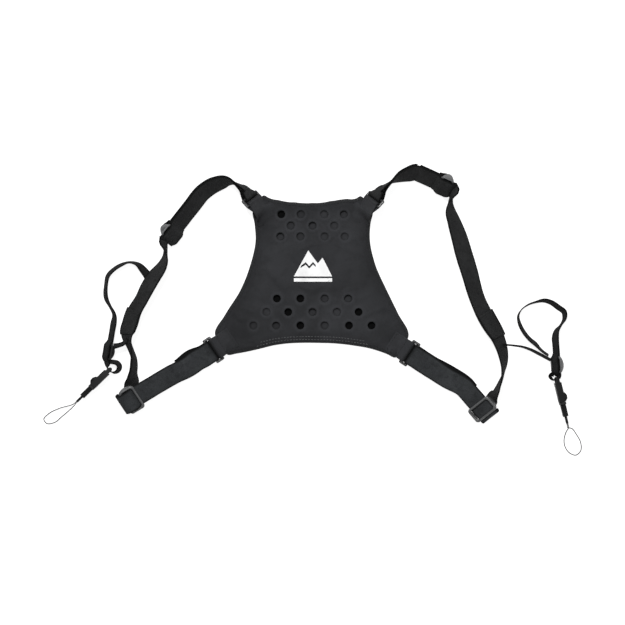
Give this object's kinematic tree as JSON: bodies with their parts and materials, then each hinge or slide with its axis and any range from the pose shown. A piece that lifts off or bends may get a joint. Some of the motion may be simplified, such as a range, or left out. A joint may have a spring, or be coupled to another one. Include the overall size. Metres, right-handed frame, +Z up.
{
  "type": "optics carrying harness",
  "caption": "Padded yoke worn on the back, with two adjustable shoulder webs, and on each a tether that ends in a quick-release clip and a cord loop.",
  "frame": {"origin": "middle of the footprint on the surface it lies on, without the cord loops", "axes": "+X to the wearer's right as laid out, along the longest extent; +Y towards the shoulders; +Z up out of the printed face"},
  "size_m": [0.6214, 0.3351, 0.0294],
  "materials": {
    "skin_fabric": "matte laminated knit",
    "lining_mesh": "matte spacer mesh",
    "foam": "closed-cell foam",
    "print": "satin transfer print",
    "webbing": "woven nylon",
    "tether_webbing": "woven nylon",
    "acetal": "moulded acetal, satin",
    "cord": "braided cord"
  },
  "bodies": {
    "harness": {"lining": "lining_mesh", "foam_pad": "foam", "outer_skin": "skin_fabric", "emblem": "print", "left_upper_tab": "webbing", "left_lower_tab": "webbing", "left_shoulder_strap": "webbing", "left_front_strap": "webbing", "left_lower_strap": "webbing", "left_upper_return": "webbing", "left_lower_return": "webbing", "left_lower_bight": "webbing", "left_patch": "webbing", "left_tether_lead": "tether_webbing", "left_tether_loop": "tether_webbing", "right_upper_tab": "webbing", "right_lower_tab": "webbing", "right_shoulder_strap": "webbing", "right_front_strap": "webbing", "right_lower_strap": "webbing", "right_upper_return": "webbing", "right_lower_return": "webbing", "right_lower_bight": "webbing", "right_patch": "webbing", "right_tether_lead": "tether_webbing", "right_tether_loop": "tether_webbing"},
    "left_upper_ring": {"left_upper_ring": "acetal", "left_upper_fold": "webbing"},
    "left_lower_ring": {"left_lower_ring": "acetal", "left_lower_fold": "webbing"},
    "left_upper_slider": {"left_upper_slider": "acetal", "left_upper_end": "webbing"},
    "left_lower_slider": {"left_lower_slider": "acetal"},
    "left_tether_slider": {"left_tether_slider": "acetal", "left_tether_end": "tether_webbing"},
    "left_clip_socket": {"left_clip_socket": "acetal"},
    "left_clip_plug": {"left_clip_plug": "acetal", "left_cord_sleeve": "acetal", "left_cord_loop": "cord"},
    "left_clip_latch": {"left_clip_latch": "acetal"},
    "right_upper_ring": {"right_upper_ring": "acetal", "right_upper_fold": "webbing"},
    "right_lower_ring": {"right_lower_ring": "acetal", "right_lower_fold": "webbing"},
    "right_upper_slider": {"right_upper_slider": "acetal", "right_upper_end": "webbing"},
    "right_lower_slider": {"right_lower_slider": "acetal"},
    "right_tether_slider": {"right_tether_slider": "acetal", "right_tether_end": "tether_webbing"},
    "right_clip_socket": {"right_clip_socket": "acetal"},
    "right_clip_plug": {"right_clip_plug": "acetal", "right_cord_sleeve": "acetal", "right_cord_loop": "cord"},
    "right_clip_latch": {"right_clip_latch": "acetal"}
  },
  "joints": [
    {"name": "left_upper_ring_swing", "type": "hinge", "parent": "harness", "child": "left_upper_ring", "pos_m": [-0.0808, 0.1064, 0.0132], "axis": [-0.4894, -0.4563, 0.7431], "range_deg": [-20, 20]},
    {"name": "left_lower_ring_swing", "type": "hinge", "parent": "harness", "child": "left_lower_ring", "pos_m": [-0.1243, -0.0619, 0.0064], "axis": [0.5399, -0.8157, -0.2079], "range_deg": [-20, 20]},
    {"name": "left_upper_slider_adjust", "type": "slide", "parent": "harness", "child": "left_upper_slider", "axis": [0.6211, 0.7837, 0], "range_m": [0, 0.014]},
    {"name": "left_lower_slider_adjust", "type": "slide", "parent": "harness", "child": "left_lower_slider", "axis": [0.8572, 0.515, 0], "range_m": [0, 0.02]},
    {"name": "left_tether_slider_adjust", "type": "slide", "parent": "harness", "child": "left_tether_slider", "axis": [0.165, 0.9863, 0], "range_m": [0, 0.015]},
    {"name": "left_clip_swing", "type": "hinge", "parent": "harness", "child": "left_clip_socket", "pos_m": [-0.247, -0.0866, 0.0065], "axis": [0, 0, 1], "range_deg": [-30, 30]},
    {"name": "left_plug_release", "type": "slide", "parent": "left_clip_socket", "child": "left_clip_plug", "axis": [-0.7133, -0.7009, 0], "range_m": [0, 0.016]},
    {"name": "left_latch_press", "type": "hinge", "parent": "left_clip_plug", "child": "left_clip_latch", "pos_m": [-0.26882, -0.1072, 0.0065], "axis": [0, 0, -1], "range_deg": [0, 6], "stiffness_Nm_per_rad": 0.02},
    {"name": "right_upper_ring_swing", "type": "hinge", "parent": "harness", "child": "right_upper_ring", "pos_m": [0.0548, 0.1059, 0.0132], "axis": [-0.4973, 0.4477, -0.7431], "range_deg": [-20, 20]},
    {"name": "right_lower_ring_swing", "type": "hinge", "parent": "harness", "child": "right_lower_ring", "pos_m": [0.0952, -0.0657, 0.0064], "axis": [0.5327, 0.8203, 0.2079], "range_deg": [-20, 20]},
    {"name": "right_upper_slider_adjust", "type": "slide", "parent": "harness", "child": "right_upper_slider", "axis": [-0.9135, 0.4067, 0], "range_m": [0, 0.014]},
    {"name": "right_lower_slider_adjust", "type": "slide", "parent": "harness", "child": "right_lower_slider", "axis": [-0.6561, 0.7547, 0], "range_m": [0, 0.012]},
    {"name": "right_tether_slider_adjust", "type": "slide", "parent": "harness", "child": "right_tether_slider", "axis": [-0.0698, 0.9976, 0], "range_m": [0, 0.01]},
    {"name": "right_clip_swing", "type": "hinge", "parent": "harness", "child": "right_clip_socket", "pos_m": [0.2675, -0.0976, 0.0065], "axis": [0, 0, 1], "range_deg": [-30, 30]},
    {"name": "right_plug_release", "type": "slide", "parent": "right_clip_socket", "child": "right_clip_plug", "axis": [0.2334, -0.9724, 0], "range_m": [0, 0.016]},
    {"name": "right_latch_press", "type": "hinge", "parent": "right_clip_plug", "child": "right_clip_latch", "pos_m": [0.27509, -0.12663, 0.0065], "axis": [0, 0, 1], "range_deg": [0, 6], "stiffness_Nm_per_rad": 0.02}
  ]
}
